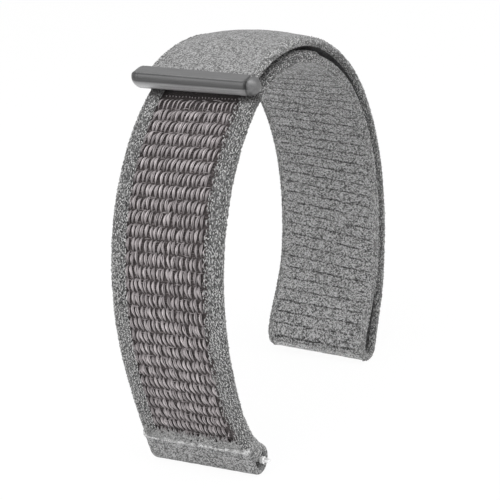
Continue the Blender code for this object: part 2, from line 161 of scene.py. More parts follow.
# The bare strip below the end bar, where the bar's shadow is painted on the cloth and its stitches
STRIP_UNDER_BAR = 0.0004
STRIP_WIDTH = 0.0014
STRIP_FADE_IN = 0.0005
STRIP_FADE_OUT = 0.0008
STRIP_DOTS = 23
DOTS_UP_STRIP = 0.00050
DOT_LONG = 0.00030
DOT_RADIUS = 0.00008

# The cloth's surface and its edge stitches
CELL = 0.00032
EDGE_ROUND = 0.00095
HEM_CELL, HEM_ROUND = 0.0003, 0.0006
CLOTH_PROUD = 0.00026
LAYER_DIP = 0.00048
REAR_ROLL = 0.05
ROLL_FULL_DEPTH = 0.010
ROLL_TOP = 0.055
ROLL_FADE = 0.035
GRAIN_SHIFT = 0.05
STITCH_RADIUS = 0.000086
STITCH_COLUMN = 0.000275
STITCH_PITCH = 0.00034
STITCHES_REACH = 0.0009, 0.0012
LOW_STITCHES_TO, LOW_STITCHES_FADE = 0.050, 0.030
STRAND_MAP_STEP = 0.0007
SAMPLES = 2000

# Camera, as fitted to the photograph
CAMERA_PLACE = (0.122755, -0.218653, 0.126882)
CAMERA_RIGHT = (0.8820, 0.4617, -0.0943)
CAMERA_UP = (-0.08934, 0.36033, 0.92854)
CAMERA_BACK = (0.46265, -0.81057, 0.35907)
CAMERA_LENS = 108.0

# The floor and the light round it
FLOOR_HALF = 3.0
FLOOR_WHITE = 0.95
WORLD_LIGHT = 0.66
LAMPS_POINT_AT = (0.0, 0.0, 0.03)


def ease(share):
    """From 0 to 1 with no corner at either end."""
    share = np.clip(share, 0.0, 1.0)
    return share * share * (3.0 - 2.0 * share)


def grain(across, along, pitch, seed):
    """Random bumps from 0 to 1, pitch metres apart, smooth in between."""
    size = 97
    table = np.random.default_rng(seed).random((size, size))
    x, y = across / pitch, along / pitch
    i, j = np.floor(x).astype(int), np.floor(y).astype(int)
    a, b = ease(x - i), ease(y - j)
    near = table[i % size, j % size] * (1 - a) + table[(i + 1) % size, j % size] * a
    far = table[i % size, (j + 1) % size] * (1 - a) + table[(i + 1) % size, (j + 1) % size] * a
    return near * (1 - b) + far * b


# The path of the band


def smooth_through(points, first_heading, last_heading):
    """A smooth curve through the points, clamped to a heading at each end, as dense samples."""
    points = np.array(points)
    gaps = np.linalg.norm(np.diff(points, axis=0), axis=1)
    count = len(points)
    system = np.zeros((count, count))
    known = np.zeros((count, 2))
    system[0, 0] = system[-1, -1] = 1.0
    known[0], known[-1] = first_heading, last_heading
    for i in range(1, count - 1):
        before, after = gaps[i - 1], gaps[i]
        system[i, i - 1], system[i, i], system[i, i + 1] = after, 2 * (before + after), before
        rise_before = (points[i] - points[i - 1]) / before
        rise_after = (points[i + 1] - points[i]) / after
        known[i] = 3 * (after * rise_before + before * rise_after)
    slopes = np.linalg.solve(system, known)
    stations = np.concatenate([[0.0], np.cumsum(gaps)])
    where = np.linspace(0.0, stations[-1], SAMPLES)
    i = np.clip(np.searchsorted(stations, where, side="right") - 1, 0, count - 2)
    u = ((where - stations[i]) / gaps[i])[:, None]
    gap = gaps[i][:, None]
    start = (1 + 2 * u) * (1 - u) ** 2 * points[i] + u * (1 - u) ** 2 * gap * slopes[i]
    return start + u * u * (3 - 2 * u) * points[i + 1] - u * u * (1 - u) * gap * slopes[i + 1]


class Route:
    """A line in the plane of the loop (depth, height), read by the length run along it."""

    def __init__(self, samples):
        samples = np.array(samples)
        steps = np.linalg.norm(np.diff(samples, axis=0), axis=1)
        keep = np.concatenate([[True], steps > 1e-7])
        self.samples = samples[keep]
        steps = np.linalg.norm(np.diff(self.samples, axis=0), axis=1)
        self.runs = np.concatenate([[0.0], np.cumsum(steps)])
        self.length = self.runs[-1]
        self.headings = np.gradient(self.samples, self.runs, axis=0)

    def _read(self, table, run):
        return np.stack([np.interp(run, self.runs, table[:, axis]) for axis in (0, 1)], -1)

    def outward(self, run):
        """Square to the route, to its left."""
        way = self._read(self.headings, run)
        way = way / np.linalg.norm(way, axis=-1, keepdims=True)
        return np.stack([-way[..., 1], way[..., 0]], -1)

    def at(self, run, lift=0.0):
        run, lift = np.broadcast_arrays(np.asarray(run, float), np.asarray(lift, float))
        return self._read(self.samples, run) + lift[..., None] * self.outward(run)

    def run_of(self, place):
        return self.runs[np.argmin(np.linalg.norm(self.samples - place, axis=1))]


def circle(centre, radius, angles):
    return centre + radius * np.stack([np.cos(angles), np.sin(angles)], -1)


def inner_route():
    """Middle of the inner layer, from the hem up the front leg and down to the fold."""
    start = circle(HEM_CENTRE, HEM_RADIUS, pi - HEM_LEAN)
    end = circle(FOLD_CENTRE, FOLD_RADIUS, pi - FOLD_LEAN)
    shares = zip(LOOP_DEPTH_SHARES, LOOP_HEIGHT_SHARES)
    between = [(deep * LOOP_DEPTH, high * LOOP_HEIGHT) for deep, high in shares]
    first = np.array([-sin(HEM_LEAN), cos(HEM_LEAN)])
    last = np.array([-sin(FOLD_LEAN), -cos(FOLD_LEAN)])
    return Route(smooth_through([start, *between, end], first, last))


def whole_route(inner):
    """The inner layer, the fold and the outer layer back to the end bar, as one route."""
    close = BAND_THICKNESS + LAYER_GAP
    fold = circle(FOLD_CENTRE, FOLD_RADIUS, pi - FOLD_LEAN + np.linspace(0.0, pi, 80))
    back = np.linspace(inner.length, END_BAR_RUN - END_BAR_RADIUS, SAMPLES)
    opened = 1 - ease((inner.length - back) / FOLD_CLOSING_RUN)
    dip_painted_light = ease((END_BAR_RUN + PEEL_ABOVE_BAR - back) / PEEL_ABOVE_BAR)
    lift = close + (2 * FOLD_RADIUS - close) * opened + TAIL_RISE * dip_painted_light
    return Route(np.concatenate([inner.samples, fold, inner.at(back, lift)]))


def hem_route(inner):
    """Middle of the hem's cloth, down from the ridge, round the bar and up the inner side."""
    turns = np.linspace(HEM_MEETS_TUBE, HEM_LEAVES_TUBE, 80)
    around = circle(HEM_CENTRE, HEM_RADIUS, turns)
    ways = np.stack([-np.sin(turns), np.cos(turns)], -1)
    top = inner.at([HEM_RUN + 0.0005, HEM_RUN])
    down = smooth_through([top[1], around[0]], (top[1] - top[0]) / 0.0005, ways[0])
    flap = list(zip(HEM_FLAP_DEPTHS, HEM_FLAP_HEIGHTS))
    last = np.subtract(flap[-1], flap[-2])
    up = smooth_through([around[-1], *flap], ways[-1], last / np.linalg.norm(last))
    return Route(np.concatenate([down, around, up]))


def reach_to_leg(route, runs):
    """How far to the left of the route the leg's middle is, at each run."""
    tries = np.linspace(0.0, 0.0060, 61)
    places = route.at(runs[:, None], tries)
    leg = INNER.samples[: SAMPLES // 6]
    gaps = np.linalg.norm(places[:, :, None] - leg, axis=-1).min(axis=-1)
    return tries[np.argmin(gaps, axis=1)]


INNER = inner_route()
WHOLE = whole_route(INNER)
FRONT_MOST = INNER.samples[:, 0].min() - BAND_THICKNESS / 2
REAR_MOST = WHOLE.samples[:, 0].max() + BAND_THICKNESS / 2
MIDDLE = (FRONT_MOST + REAR_MOST) / 2
CROWN_RUN = END_BAR_RUN + CROWN_PAST_BAR
PEEL_RUN = WHOLE.length - END_BAR_RADIUS - PEEL_ABOVE_BAR
OVER_RUN = PEEL_RUN - TAIL_CLOTH_BEFORE_PEEL
STRIP_RUN = END_BAR_RUN - END_BAR_RADIUS + STRIP_UNDER_BAR
PILE_FLOOR = BAND_THICKNESS / 2 - FIELD_DEPTH - 0.0001
HEM = hem_route(INNER)
HEM_UP_RUN = HEM.run_of(circle(HEM_CENTRE, HEM_RADIUS, HEM_LEAVES_TUBE))
FLAP_RUNS = np.linspace(HEM_UP_RUN, HEM.length, 50)
FLAP_TO_LEG = reach_to_leg(HEM, FLAP_RUNS)


def in_frame(sides, places):
    """Points (x, y, z) from places across the band and places in the plane of the loop."""
    sides = np.broadcast_to(sides, places.shape[:-1])
    deep, high = places[..., 0] - MIDDLE, places[..., 1]
    rolled = ease(deep / ROLL_FULL_DEPTH) * ease((ROLL_TOP - high) / ROLL_FADE)
    high = high + REAR_ROLL * (BAND_WIDTH / 2 - sides) * rolled
    return np.stack([sides, deep, high], -1)


# Shader maths


class Value:
    """A number, colour or vector in a finish, with Python's own operators for numbers."""

    def __init__(self, finish, socket):
        self.finish = finish
        self.socket = socket

    def math(self, operation, *others, first=False):
        """first puts the other value first, for the reflected forms."""
        terms = [*others, self] if first else [self, *others]
        made = self.finish.node("ShaderNodeMath", {"operation": operation}, *terms)
        return made["Value"]

    def __add__(self, other):
        return self.math("ADD", other)

    __radd__ = __add__

    def __mul__(self, other):
        return self.math("MULTIPLY", other)

    __rmul__ = __mul__

    def __sub__(self, other):
        return self.math("SUBTRACT", other)

    def __rsub__(self, other):
        return self.math("SUBTRACT", other, first=True)

    def __truediv__(self, other):
        return self.math("DIVIDE", other)

    def __rtruediv__(self, other):
        return self.math("DIVIDE", other, first=True)

    def __abs__(self):
        return self.math("ABSOLUTE")

    def most(self, other):
        return self.math("MAXIMUM", other)

    def wave(self):
        return self.math("SINE")

    def part(self):
        return self.math("FRACT")

    def between(self, low, high):
        """0 below low, 1 above high and smooth between. Low above high turns it round."""
        settings = {"interpolation_type": "SMOOTHSTEP"}
        if low > high:
            made = self.finish.node("ShaderNodeMapRange", settings, self, high, low, 1.0, 0.0)
        else:
            made = self.finish.node("ShaderNodeMapRange", settings, self, low, high, 0.0, 1.0)
        return made["Result"]


class Made:
    """A node whose outputs are read by name or place."""

    def __init__(self, finish, node):
        self.finish = finish
        self.node = node

    def __getitem__(self, place):
        return Value(self.finish, self.node.outputs[place])


class Finish:
    """A material in the making."""

    def __init__(self, name, **constants):
        self.material = bpy.data.materials.new(name)
        self.material.use_nodes = True
        self.tree = self.material.node_tree
        self.surface = self.tree.nodes["Principled BSDF"]
        self.wear(**constants)

    def put(self, socket, value):
        if isinstance(value, Value):
            self.tree.links.new(value.socket, socket)
        elif isinstance(value, tuple) and len(value) == 3 and socket.type == "RGBA":
            socket.default_value = (*value, 1.0)
        else:
            socket.default_value = value

    def node(self, kind, settings, *values, **named):
        """A node of that kind: its settings first, then its sockets in order or by name."""
        node = self.tree.nodes.new(kind)
        for key, value in settings.items():
            setattr(node, key, value)
        sockets = [socket for socket in node.inputs if socket.enabled]
        for socket, value in zip(sockets, values):
            self.put(socket, value)
        for name, value in named.items():
            self.put(node.inputs[name.replace("_", " ")], value)
        return Made(self, node)

    def mix(self, share, first, second):
        """A colour that goes from the first to the second."""
        return self.node("ShaderNodeMix", {"data_type": "RGBA"}, share, first, second)[2]

    def map_of(self, name):
        """(across, along) in millimetres from a piece's own map."""
        spot = self.node("ShaderNodeUVMap", {"uv_map": name})["UV"]
        parts = self.node("ShaderNodeSeparateXYZ", {}, spot)
        return parts["X"], parts["Y"]

    def spot(self, across, along, third=0.0):
        return self.node("ShaderNodeCombineXYZ", {}, across, along, third)["Vector"]

    def noise(self, spot, scale=1.0, detail=1.0, roughness=0.5):
        settings = {"noise_dimensions": "3D"}
        sockets = {"Vector": spot, "Scale": scale, "Detail": detail, "Roughness": roughness}
        return self.node("ShaderNodeTexNoise", settings, **sockets)[0]

    def speckle(self, spot, scale):
        """A random tone from 0 to 1 for each small cell."""
        made = self.node("ShaderNodeTexVoronoi", {"feature": "F1"}, Vector=spot, Scale=scale)
        return self.node("ShaderNodeSeparateColor", {}, made["Color"])["Red"].between(0.08, 0.92)

    def own(self, name):
        return self.node("ShaderNodeAttribute", {"attribute_name": name})["Fac"]

    def bump(self, height, distance, strength):
        return self.node("ShaderNodeBump", {}, Height=height, Distance=distance, Strength=strength)["Normal"]

    def wear(self, **sockets):
        """Feeds the surface's own sockets."""
        for name, value in sockets.items():
            self.put(self.surface.inputs[name.replace("_", " ")], value)
        return self.material


# Finishes. Those of the cloth measure in millimetres.


def grey(tone):
    return tone, tone, tone


STITCH_LIGHT = (0.76, 0.76, 0.755)
STITCH_DARK = grey(0.030)
NAPPED = grey(0.045), grey(0.355)
WORN = grey(0.100), grey(0.66)
RIDGE_LIGHT = grey(0.66)
EDGE_GROUND_SHADE_DARK = grey(0.018)
CROSS_LINE_DARK = grey(0.016)
# Painted shade in the gap between the band's layers
GAP_SHADE_DARK = grey(0.03)
# Painted deep shade of the pile's ground, also used for the end bar's painted shadow
PILE_GROUND_SHADE_DARK = (0.040, 0.034, 0.034)
GROUND_THREAD = (0.21, 0.185, 0.188)
YARN_LIGHT = (0.64, 0.59, 0.60)
YARN_DEEP = (0.105, 0.092, 0.094)
KNIT_COURSE = 0.44
KNIT_WALE = 0.62
SPECKLES_PER_MM = 5.4
FIELD_LEFT, FIELD_RIGHT = -7.85, 8.15
LINE_TILT = 0.09
LAST_LINE = 1.40

# Painted reflection and shade round the end bar: (degrees outwards from the tip's side, share of its colour)
BAR_PAINTED_LIGHT = (
    (76, 0.84), (66.6, 0.80), (62.6, 0.57), (58.6, 0.33), (54.6, 0.37), (52, 0.46), (47.4, 0.44),
    (42.6, 0.37), (38.1, 0.325), (33.4, 0.335), (28.8, 0.365), (24.1, 0.345), (19.5, 0.36),
    (14.8, 0.88), (9.1, 1.39), (3, 1.50), (-8, 2.2), (-20, 2.3), (-42, 1.0),
)
# The ball end's own share of the colour, and how dark the painted shade in the groove by the ball is
BALL_SHADE = 0.75
CRESCENT_PAINTED_SHADE = 0.62


def knit_grain(make, across, along, soft):
    """Height of the knit, from 0 to 1: small stitches in columns with stray fibres between."""
    slant = abs((across / KNIT_WALE).part() - 0.5) * 0.9
    course = ((along / KNIT_COURSE + slant) * (2 * pi)).wave() * 0.5 + 0.5
    wale = ((across / KNIT_WALE) * (2 * pi)).wave() * 0.5 + 0.5
    spot = make.spot(across, along)
    fibre = make.speckle(spot, SPECKLES_PER_MM) * 0.88
    fibre = fibre + make.noise(spot, 4.5, 2.0, 0.7).between(0.30, 0.70) * 0.12
    stitches = course * 0.62 + wale * 0.38
    return stitches * (1 - soft) + fibre * soft


def cross_lines(make, across, along, facing, low, high):
    """Dark broken lines across the wrist face, one for each row of loops on the other side."""
    sway = make.noise(make.spot(across * 0.35, along * 0.15)) - 0.5
    jog = make.noise(make.spot(across * 1.6, along * 0.5)) - 0.5
    tilted = along.between(low + 4.0, low + 16.0) * along.between(high - 6.0, high - 22.0)
    from_last = along - across * LINE_TILT * tilted - (high - LAST_LINE) + sway * 0.6 + jog * 0.30
    phase = (from_last / (ROW_PITCH * 1000) + 0.5).part()
    broken = make.noise(make.spot(across * 0.8, along * 0.9)).between(0.34, 0.50) * 0.8 + 0.2
    dotted = make.noise(make.spot(across * 3.0, along * 1.5)).between(0.40, 0.54) * 0.55 + 0.45
    line = abs(phase - 0.5).between(0.11, 0.03) * broken * dotted
    zone = along.between(low, low + 11.0) * along.between(high, high - 0.6)
    return line * zone * abs(across).between(9.0, 8.4) * facing.between(-0.3, -0.8)


def pile_ground(make, across, along, facing, low, high):
    """Where the pile grows: (share of it, its dark colour as painted deep shade between the rows, with a few light
    threads across).
    """
    pocket = along.between(13.0, 7.0) * across.between(6.0, 7.0) * 0.9
    border = across - pocket
    inside = border.between(FIELD_RIGHT, FIELD_RIGHT - 0.4) * border.between(FIELD_LEFT, FIELD_LEFT + 0.4)
    inside = inside * facing.between(0.2, 0.7)
    inside = inside * along.between(low, low + 0.3) * along.between(high, high - 0.3)
    threads = make.noise(make.spot(across * 0.8, along * 3.0), 2.0, 2.0, 0.6).between(0.52, 0.70)
    return inside, make.mix(threads, PILE_GROUND_SHADE_DARK, GROUND_THREAD)


def painted_bar_shadow(along, facing):
    """The end bar's shadow, painted on the strip below it from edge to edge."""
    low, high = 1000 * STRIP_RUN, 1000 * (STRIP_RUN + STRIP_WIDTH)
    into = along.between(low - 1000 * STRIP_FADE_IN, low)
    return into * along.between(high + 1000 * STRIP_FADE_OUT, high) * facing.between(0.0, 0.5)


def knit_finish(name, soft, dark, light, lines=(), field=(), nap=(), edges=None, ridge=None, painted_gap_shade=False):
    """Grey knit, from dark to light. soft is the share of stray fibres that hide its stitches.

    lines, field and nap say from where to where it has dark lines across, the pile's ground with its painted
    deep shade, and a turn from plain to napped cloth. edges is the light tone of the ground under the edge
    stitches, which has painted shade between them, and ridge is where the light ridge of the hem ends.
    painted_gap_shade paints shade on the side that faces the band's other layer.
    """
    make = Finish(name, Roughness=0.95, Sheen_Weight=0.15, Sheen_Roughness=0.5, Specular_IOR_Level=0.12)
    across, along = make.map_of("band_mm")
    facing = make.own("facing")
    height = knit_grain(make, across, along, soft)
    broad = make.noise(make.spot(across, along), 0.35, 2.0, 0.5).between(0.25, 0.75)
    tone = height * 0.93 + broad * 0.07
    colour = make.mix(tone, dark, light)
    relief = height
    if nap:
        share = along.between(*nap) * facing.between(-0.2, -0.6)
        up = along.between(nap[1] + 1.0, nap[1] + 7.0)
        napped = [make.mix(up, worn, plain) for worn, plain in zip(WORN, NAPPED)]
        colour = make.mix(share, colour, make.mix(tone, *napped))
    if ridge:
        share = along.between(ridge, ridge - 0.8) * facing.between(-0.2, -0.6)
        colour = make.mix(share * (height * 0.7 + 0.2), colour, RIDGE_LIGHT)
    if edges:
        # Painted shade on the ground between the edge stitches
        under = facing.between(-0.85, -0.3).most(abs(across).between(9.5, 9.75))
        colour = make.mix(under, colour, make.mix(height, EDGE_GROUND_SHADE_DARK, edges))
    if lines:
        line = cross_lines(make, across, along, facing, *lines)
        colour = make.mix(line * 0.88, colour, CROSS_LINE_DARK)
        relief = relief - line * 0.9
    if field:
        inside, ground = pile_ground(make, across, along, facing, *field)
        colour = make.mix(inside, colour, ground)
        # The end bar's painted shadow across the strip
        colour = make.mix(painted_bar_shadow(along, facing) * 0.75, colour, PILE_GROUND_SHADE_DARK)
    if painted_gap_shade:
        # Painted shade on the side that faces the band's other layer
        colour = make.mix(facing.between(0.0, 0.6) * 0.7, colour, GAP_SHADE_DARK)
    return make.wear(Base_Color=colour, Normal=make.bump(relief, 0.00010, 0.7))


def yarn_finish(name, light, deep, roughness=0.62):
    """Filament yarn: fine fibres along each strand, a tint of its own and painted shade where it dips."""
    make = Finish(name, Roughness=roughness, Sheen_Weight=0.15, Specular_IOR_Level=0.3)
    around, along = make.map_of("strand_mm")
    fibre = make.noise(make.spot(around * 9.0, along * 1.1), 1.0, 2.0, 0.6).between(0.3, 0.7)
    # Painted shade where the strand dips, with its tint and fibres
    shade = (fibre * 0.35 + make.own("tint") * 0.65) * make.own("dip_painted_light")
    colour = make.mix(shade, deep, light)
    return make.wear(Base_Color=colour, Normal=make.bump(fibre, 0.00003, 0.7))


def hard_finish(name, base, roughness, grain_scale, metallic=0.0, shaded=None):
    """A hard surface, blasted and faintly streaked. shaded is the full value of a piece's own painted reflection
    and shade.
    """
    make = Finish(name, Metallic=metallic)
    parts = make.node("ShaderNodeSeparateXYZ", {}, make.node("ShaderNodeTexCoord", {})["Object"])
    across, deep, high = parts["X"] * 1000, parts["Y"] * 1000, parts["Z"] * 1000
    blasted = make.noise(make.spot(across, deep, high), grain_scale, 2.0, 0.6)
    streak = make.noise(make.spot(across * 0.12, deep * 3.0, high * 3.0), 1.0, 3.0, 0.6)
    worn = blasted * 0.5 + streak * 0.5
    dark, light = (tuple(value * share * (shaded or 1.0) for value in base) for share in (0.82, 1.18))
    colour = make.mix(worn.between(0.3, 0.7), dark, light)
    if shaded:
        # Painted reflection and shade, from the piece's own values
        colour = make.mix(make.own("shade"), grey(0.0), colour)
    rough = worn * 0.16 + (roughness - 0.08)
    return make.wear(Base_Color=colour, Roughness=rough, Normal=make.bump(blasted, 0.00002, 0.35))


# Meshes


def add_piece(name, points, faces, material):
    mesh = bpy.data.meshes.new(name)
    mesh.from_pydata(points.reshape(-1, 3), [], faces)
    mesh.validate()
    obj = bpy.data.objects.new(name, mesh)
    bpy.context.scene.collection.objects.link(obj)
    mesh.materials.append(material)
    mesh.shade_smooth()
    return obj


def add_map(obj, name, values):
    """A map on the mesh's corners from one (across, along) for each point."""
    mesh = obj.data
    corner_points = np.empty(len(mesh.loops), np.int32)
    mesh.loops.foreach_get("vertex_index", corner_points)
    layer = mesh.uv_layers.new(name=name)
    layer.uv.foreach_set("vector", values.reshape(-1, 2)[corner_points].astype(np.float32).ravel())


def add_value(obj, name, values):
    made = obj.data.attributes.new(name, "FLOAT", "POINT")
    made.data.foreach_set("value", np.asarray(values, np.float32).ravel())


def ring_faces(rings, around):
    """Four-sided faces between rings of points, and one face at each end."""
    i = np.arange(rings - 1)[:, None] * around
    j = np.arange(around)[None, :]
    k = (j + 1) % around
    quads = np.stack([i + j, i + k, i + around + k, i + around + j], -1).reshape(-1, 4)
    first = list(range(around))[::-1]
    last = [(rings - 1) * around + n for n in range(around)]
    return [*quads.tolist(), first, last]


def band_piece(name, route, first, last, faces_at, relief, material, cell=CELL, edge=EDGE_ROUND):
    """Cloth along a route. faces_at gives (low, high, bulge) for runs, relief the surface's own rise."""
    runs = np.linspace(first, last, max(8, round((last - first) / cell)) + 1)[:, None]
    flat = np.linspace(-1.0, 1.0, round(BAND_WIDTH / cell) + 1)
    turns = np.linspace(pi / 2, -pi / 2, 8)[1:-1]
    half = BAND_WIDTH / 2 + CLOTH_PROUD - edge
    base = np.concatenate([flat * half, np.full(6, half), -flat * half, np.full(6, -half)])
    facing = np.concatenate([np.full(flat.size, pi / 2), turns, np.full(flat.size, -pi / 2), turns - pi])
    low, high, bulge = faces_at(runs)
    middle, thick = (low + high) / 2, (high - low) / 2
    rise = relief(base[None, :] + edge * np.cos(facing), runs, np.sin(facing)[None, :])
    sides = base[None, :] + (edge + rise) * np.cos(facing)
    lifts = middle + (thick + rise) * np.sin(facing) + bulge * (1 - (2 * base / BAND_WIDTH) ** 2)
    points = in_frame(sides, route.at(np.broadcast_to(runs, lifts.shape), lifts))
    obj = add_piece(name, points, ring_faces(len(runs), base.size), material)
    arc = edge * (pi / 2 - np.abs(np.abs(facing + pi / 2) - pi / 2))
    across = np.broadcast_to((base + np.sign(base) * arc)[None, :], lifts.shape)
    add_map(obj, "band_mm", np.stack([across, np.broadcast_to(runs, lifts.shape)], -1) * 1000)
    add_value(obj, "facing", np.broadcast_to(np.sin(facing)[None, :], lifts.shape))
    obj.data.set_sharp_from_angle(angle=radians(60))
    return obj


def strands_piece(name, paths, radii, material, tint, dip_painted_light, sides):
    """Many round strands as one piece. paths is (strand, point, 3) and radii (strand, point)."""
    count, steps = paths.shape[:2]
    way = np.gradient(paths, axis=1)
    way /= np.linalg.norm(way, axis=-1, keepdims=True)
    beside = np.array((1.0, 0.0, 0.0))
    across = beside - way * (way @ beside)[..., None]
    across /= np.linalg.norm(across, axis=-1, keepdims=True)
    up = np.cross(way, across)
    angles = np.linspace(0.0, 2 * pi, sides, endpoint=False)
    ring = np.cos(angles)[:, None] * across[..., None, :] + np.sin(angles)[:, None] * up[..., None, :]
    points = paths[..., None, :] + radii[..., None, None] * ring
    single = ring_faces(steps, sides)
    faces = []
    for strand in range(count):
        base = strand * steps * sides
        faces += [[base + n for n in face] for face in single]
    obj = add_piece(name, points, faces, material)
    walked = np.cumsum(np.linalg.norm(np.diff(paths, axis=1), axis=-1), axis=1)
    length = np.concatenate([np.zeros((count, 1)), walked], axis=1)
    shape = (count, steps, sides)
    own_place = np.arange(count)[:, None, None] * STRAND_MAP_STEP
    turn = np.broadcast_to(angles, shape) * radii[..., None] + own_place
    add_map(obj, "strand_mm", np.stack([turn, np.broadcast_to(length[..., None], shape)], -1) * 1000)
    add_value(obj, "tint", np.broadcast_to(np.asarray(tint)[:, None, None], shape))
    # Painted shade where each strand dips
    add_value(obj, "dip_painted_light", np.broadcast_to(dip_painted_light[..., None], shape))
    return obj


def round_edge(reach):
    """The way round the band's edge from face to face: how far along it, side places and angles."""
    turns = np.linspace(pi / 2, -pi / 2, 17)
    half = BAND_WIDTH / 2 + CLOTH_PROUD
    places = half - EDGE_ROUND + EDGE_ROUND * np.cos(turns)
    places = np.concatenate([[half - reach[0]], places, [half - reach[1]]])
    angles = np.concatenate([[pi / 2], turns, [-pi / 2]])
    steps = np.hypot(np.diff(places), np.diff(BAND_THICKNESS / 2 * np.sin(angles)))
    return np.concatenate([[0.0], np.cumsum(steps)]), places, angles


def stitch_tints(rng, run, column, low_down):
    """Light and dark stitches mixed. Odd columns are darker low down, and all get the end bar's painted shadow by
    the bar.
    """
    shares = rng.random((2, run.size))
    light = 0.50 + 0.40 * low_down
    light = light + (1 - light) * shares[1]
    tint = np.where(shares[0] < 0.46 - 0.34 * low_down, 0.15 * shares[1], light)
    tint = tint * (1 - 0.55 * low_down * (column % 2))
    # The end bar's painted shadow on the stitches below it
    above = run - STRIP_RUN
    shaded = ease((above + STRIP_FADE_IN) / STRIP_FADE_IN)
    shaded = shaded * (1 - ease((above - STRIP_WIDTH) / STRIP_FADE_OUT))
    return tint * (1 - 0.80 * shaded)


def edge_stitches(name, route, first, last, faces_at, reach, material, seed, edges, bare=None):
    """Slanted knit stitches in columns round the named edges. reach is how far they go on each face.

    bare is (width, run): they thin out past that width, and past less of it below that run.
    """
    rng = np.random.default_rng(seed)
    ways, places, angles = round_edge(reach)
    columns = int(ways[-1] / STITCH_COLUMN)
    rows = int((last - first) / STITCH_PITCH)
    grid = np.meshgrid(edges, np.arange(columns), np.arange(rows), indexing="ij")
    side, column, row = (values.reshape(-1, 1) for values in grid)
    shape = side.shape
    t = np.linspace(-0.5, 0.5, 4)[None, :]
    bow = np.cos(pi * t)
    slant = np.where(column % 2 > 0, 1.0, -1.0) * rng.uniform(-0.5, 1.4, shape)
    middle = (column + 0.5 + rng.normal(0, 0.22, shape)) * STITCH_COLUMN
    across = np.clip(middle + slant * t * STITCH_COLUMN, 0.0, ways[-1])
    rows_up = row + 0.5 + rng.normal(0, 0.26, shape) + t * rng.uniform(0.8, 1.5, shape)
    runs = np.clip(first + rows_up * STITCH_PITCH, first, last)
    run = runs.mean(axis=1)
    low, high, bulge = faces_at(runs)
    angle = np.interp(across, ways, angles)
    push = STITCH_RADIUS * (bow - 0.15 + rng.normal(0, 0.45, shape))
    place = np.interp(across, ways, places)
    lift = (low + high) / 2 + (high - low) / 2 * np.sin(angle) + push * np.sin(angle)
    lift = lift + bulge * (1 - (2 * place / BAND_WIDTH) ** 2)
    paths = in_frame(side * (place + push * np.cos(angle)), route.at(runs, lift))
    radii = STITCH_RADIUS * (0.55 + 0.45 * bow) * rng.uniform(0.8, 1.15, shape)
    low_down = ease((LOW_STITCHES_TO - run) / LOW_STITCHES_FADE) * (last <= CROWN_RUN)
    tint = stitch_tints(rng, run, column[:, 0], low_down)
    # Painted shade at each stitch's ends, where it dips into the knit
    dip_painted_light = np.broadcast_to(0.30 + 0.70 * bow, runs.shape)
    kept = np.ones(shape[0], bool)
    if bare:
        start = BAND_WIDTH / 2 + CLOTH_PROUD - bare[0] + 0.0013 * ease((bare[1] - run) / 0.006)
        start = start + rng.normal(0, 0.0005, shape[0])
        kept = (angle.mean(axis=1) < 0.4) | (place.mean(axis=1) > start)
    return strands_piece(name, paths[kept], radii[kept], material, tint[kept], dip_painted_light[kept], 4)


# Cloth of the band


def front_faces(runs):
    return -BAND_THICKNESS / 2 + 0 * runs, BAND_THICKNESS / 2 + 0 * runs, 0 * runs


def field_share(sides, runs):
    """1 where the pile grows, 0 on the knitted edges."""
    across = 1 - ease((np.abs(sides) - (BAND_WIDTH / 2 - EDGE_WIDTH - 0.0001)) / 0.0006)
    along = ease((runs - HEM_RUN - 0.0002) / 0.0006)
    return across * along * (1 - ease((runs - CROWN_RUN + 0.0030) / 0.0010))


def knit_relief(sides, runs, facing):
    """Rise of the knit: even small bumps, stronger where the edge turns."""
    bumps = grain(sides + GRAIN_SHIFT, runs, 0.0007, 3) - 0.5
    knots = grain(sides + GRAIN_SHIFT, runs, 0.0012, 5) - 0.5
    turned = 1 - np.abs(facing)
    return bumps * (0.00005 + 0.00006 * turned) + knots * (0.00004 + 0.00008 * turned)


def front_relief(sides, runs, facing):
    """The knit's rise, with the outer side sunk where the pile grows."""
    sunk = field_share(sides, runs) * ease(facing) * FIELD_DEPTH
    return knit_relief(sides, runs, facing) - sunk


def outer_dome(runs):
    """How much of the crown's dome the outer layer has: none below the rear shoulder."""
    first = WHOLE.run_of(INNER.at(INNER.length - REAR_FLEX_ABOVE_FOLD, BAND_THICKNESS + LAYER_GAP))
    rising = ease((runs - first) / (PEEL_RUN - first))
    falling = WHOLE.length - END_BAR_RADIUS - DOME_ENDS_BEFORE_BAR - runs
    falling = ease(falling / (PEEL_ABOVE_BAR - DOME_ENDS_BEFORE_BAR))
    return np.where(runs < PEEL_RUN, rising, falling) * (runs > INNER.length)


def rear_faces(runs):
    thick = BAND_THICKNESS / 2
    return -thick + 0 * runs, thick - LAYER_DIP + 0 * runs, -CROWN_DOME * outer_dome(runs)


def tail_faces(runs):
    thin = ease((runs - PEEL_RUN - 0.0010) / (WHOLE.length - PEEL_RUN - 0.0040))
    low = -BAND_THICKNESS / 2 + 0 * runs
    high = BAND_THICKNESS / 2 - LAYER_DIP - (BAND_THICKNESS - LAYER_DIP - TAIL_THICKNESS) * thin
    return low, high, -CROWN_DOME * outer_dome(runs)


def hem_faces(runs):
    """The hem's cloth starts level with the band, and above the bar it is sewn to the leg's back."""
    start = (BAND_THICKNESS - HEM_THICKNESS) / 2 * (1 - ease(runs / 0.0060))
    filled = ease((runs - HEM_UP_RUN - 0.0005) / 0.0010)
    to_leg = np.maximum(np.interp(runs, FLAP_RUNS, FLAP_TO_LEG), 0.0004)
    high = HEM_THICKNESS / 2 + (to_leg - HEM_THICKNESS / 2) * filled
    return -HEM_THICKNESS / 2 - start, high, 0 * runs


